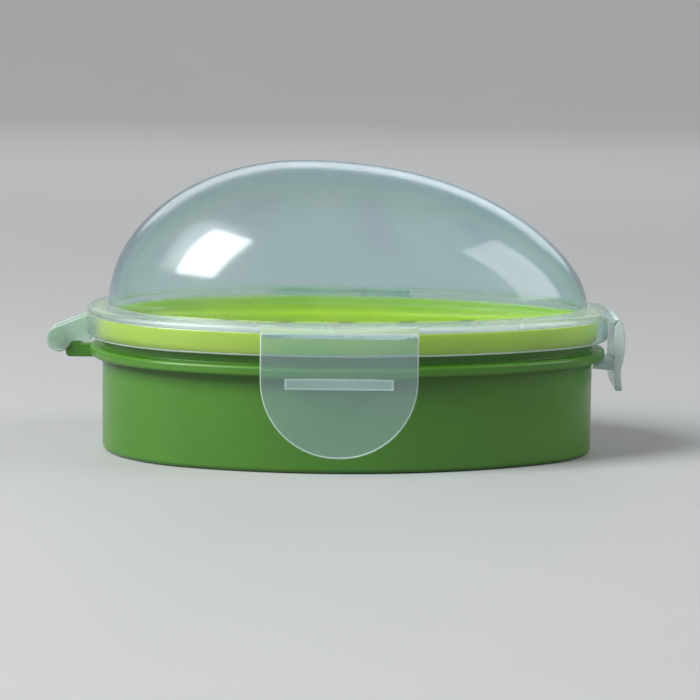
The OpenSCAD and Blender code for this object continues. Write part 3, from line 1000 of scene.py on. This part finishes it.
add_piece(dress(make_tub(), 0, GREEN), "base", "green_plastic", "base_tub")
add_piece(dress(make_bracket(), 0, GREEN), "base", "green_plastic")
add_piece(dress(make_tray(), 0, LIME), "base", "lime_plastic", "drain_tray")
add_piece(make_lid(), "lid", "frosted_plastic", "dome_lid")
SIDE_FLAP = SIDE_FLAP_W, SIDE_FLAP_Z, SIDE_FLAP_R
SIDE_HOOK = SIDE_HOOK_W, SIDE_R, WIDE_X - SIDE_FLAP_X
END_FLAP = END_FLAP_W, END_FLAP_Z, END_FLAP_R
END_HOOK = END_HOOK_W, NARROW_R, 0
for body, shape, hook, place in (
    ("front_flap", SIDE_FLAP, SIDE_HOOK, at_front),
    ("rear_flap", SIDE_FLAP, SIDE_HOOK, at_rear),
    ("end_flap", END_FLAP, END_HOOK, at_end),
):
    panel = make_flap("panel", *shape, place)
    flap = join(body + "_panel", [panel, make_hook(*hook, place)], *FLAP_PLASTICS)
    add_piece(flap, body, "flap_plastic", body)
    # The hinge web is in the milky edge plastic, its pale line partly a painted highlight
    web = dress(make_web(body + "_hinge", shape[0], place), 0, EDGE_HIGHLIGHT)
    start = Vector(place(WEB_U0, WEB_Z, 0)) * MM
    end = Vector(place(WEB_U1, WEB_Z, 0)) * MM
    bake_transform(web)
    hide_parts(body.replace("flap", "web"))


# Floor, light and camera. The glow's reach, the lamps and the clip distance are in metres.

STAGE_NEAR, STAGE_WALL, STAGE_BEND, STAGE_TOP, STAGE_SIDE = -1800, 3200, 1600, 2400, 4000
STAGE_STEPS = 16
FLOOR_TONES = (0.56, 0.57, 0.58), (0.58, 0.59, 0.6)
FLOOR_GLOSS = 0.55, 0.7
FLOOR_MOTTLE = 6
FLOOR_BOUNCE = 0.26, 0.26, 0.26, 1
FLOOR_GLOW = {"From Min": 0.3, "From Max": 1.5, "To Min": 0, "To Max": 0.2}
WHITE = 1, 1, 1, 1
WORLD_LEVEL = 0.16
LAMP_TARGET = 0, 0, 0.04
CAMERA_PLACE = 0.77, -900, 149.9
CAMERA_DOWN = 0.1339
CAMERA_ROLL = 0.0112
CAMERA_SENSOR = 36
CAMERA_CLIP = 0.05
FOCAL_PX = 3130
FRAME_PX = 700


def floor_material():
    """Pale matt floor that glows a little towards the back and throws less light than it shows."""
    mat, shader, place, mottle = new_material("floor", FLOOR_GLOSS)
    mottle.inputs["Scale"].default_value = FLOOR_MOTTLE
    add_colour(mat, shader, mottle, FLOOR_TONES)
    nodes, links = mat.node_tree.nodes, mat.node_tree.links
    rays = nodes.new("ShaderNodeLightPath").outputs
    seen = add_larger(mat, rays["Is Camera Ray"], rays["Is Glossy Ray"])
    shown = add_larger(mat, seen, rays["Is Transmission Ray"])
    bounce = nodes.new("ShaderNodeBsdfDiffuse")
    bounce.inputs["Color"].default_value = FLOOR_BOUNCE
    mix_surface(mat, shown, bounce, shader)
    far = nodes.new("ShaderNodeSeparateXYZ")
    links.new(place.outputs["Object"], far.inputs["Vector"])
    glow = nodes.new("ShaderNodeMapRange")
    glow.interpolation_type = "SMOOTHSTEP"
    set_inputs(glow, FLOOR_GLOW)
    links.new(far.outputs["Y"], glow.inputs["Value"])
    links.new(glow.outputs["Result"], shader.inputs["Emission Strength"])
    shader.inputs["Emission Color"].default_value = WHITE
    return mat


def make_stage():
    """Pale floor that curves up into a backdrop."""
    curve = arc(STAGE_WALL - STAGE_BEND, STAGE_BEND, STAGE_BEND, -QUARTER, QUARTER, STAGE_STEPS)
    line = [(STAGE_NEAR, 0)] + curve + [(STAGE_WALL, STAGE_TOP)]
    bm = bmesh.new()
    rows = [[bm.verts.new(Vector((side * STAGE_SIDE, y, z)) * MM) for side in (-1, 1)] for y, z in line]
    for low, high in zip(rows, rows[1:]):
        bm.faces.new([low[0], low[1], high[1], high[0]])
    stage = to_object("floor", bm)
    stage.data.materials.append(floor_material())


def add_lamp(name, place, size, watts):
    """Rectangular soft lamp that faces the object."""
    light = bpy.data.lights.new(name, "AREA")
    light.shape = "RECTANGLE"
    light.size, light.size_y = size
    light.energy = watts
    lamp = bpy.data.objects.new(name, light)
    lamp.location = place
    lamp.rotation_euler = (Vector(LAMP_TARGET) - Vector(place)).to_track_quat("-Z", "Y").to_euler()
    lamp.visible_camera = False
    bpy.context.scene.collection.objects.link(lamp)


def add_world():
    """Even grey surround."""
    world = bpy.data.worlds.new("surround")
    world.use_nodes = True
    grey = WORLD_LEVEL, WORLD_LEVEL, WORLD_LEVEL, 1
    world.node_tree.nodes["Background"].inputs["Color"].default_value = grey
    bpy.context.scene.world = world


def add_camera():
    """Camera at the photograph's viewing angle."""
    camera = bpy.data.cameras.new("camera")
    camera.sensor_width = CAMERA_SENSOR
    camera.lens = camera.sensor_width * FOCAL_PX / FRAME_PX
    camera.clip_start = CAMERA_CLIP
    obj = bpy.data.objects.new("camera", camera)
    tilt = Matrix.Rotation(QUARTER - CAMERA_DOWN, 4, "X") @ Matrix.Rotation(CAMERA_ROLL, 4, "Z")
    obj.matrix_world = Matrix.Translation(Vector(CAMERA_PLACE) * MM) @ tilt
    bpy.context.scene.collection.objects.link(obj)
    bpy.context.scene.camera = obj


make_stage()
add_lamp("key", place=(-0.95, -0.56, 0.98), size=(0.65, 0.83), watts=24)
add_lamp("fill", place=(1.12, -0.13, 0.66), size=(0.64, 0.96), watts=5)
add_lamp("rear", place=(0.08, 1.2, 0.61), size=(1.8, 0.45), watts=2.2)
add_world()
add_camera()
bpy.context.scene.view_settings.view_transform = "Standard"
